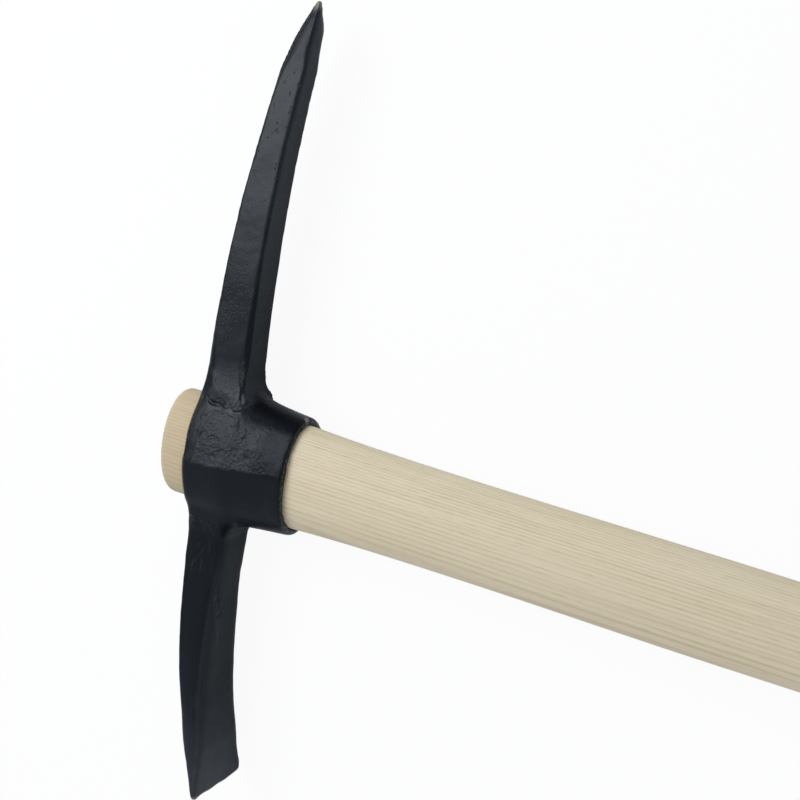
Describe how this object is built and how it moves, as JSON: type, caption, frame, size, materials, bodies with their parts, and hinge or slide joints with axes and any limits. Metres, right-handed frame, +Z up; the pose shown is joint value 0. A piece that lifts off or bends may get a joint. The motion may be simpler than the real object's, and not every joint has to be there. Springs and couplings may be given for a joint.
{
  "type": "pick axe",
  "caption": "Pick axe: one forged black head with a pointed pick and a flared adze, slipped over the grip of an ash handle onto its swollen oval end.",
  "frame": {"origin": "middle of the eye, on the axis of the handle", "axes": "+X along the handle toward the grip, +Y toward the pick point, +Z up as the tool lies on its side"},
  "size_m": [0.95, 0.472, 0.0512],
  "materials": {
    "forged_steel": "satin black over forging scale",
    "ash": "planed and unvarnished"
  },
  "bodies": {
    "handle": {"handle": "ash"},
    "head": {"pick_head": "forged_steel"}
  },
  "joints": [
    {"name": "head_slide", "type": "slide", "parent": "handle", "child": "head", "axis": [1, 0, 0], "range_m": [0, 0.95]}
  ]
}
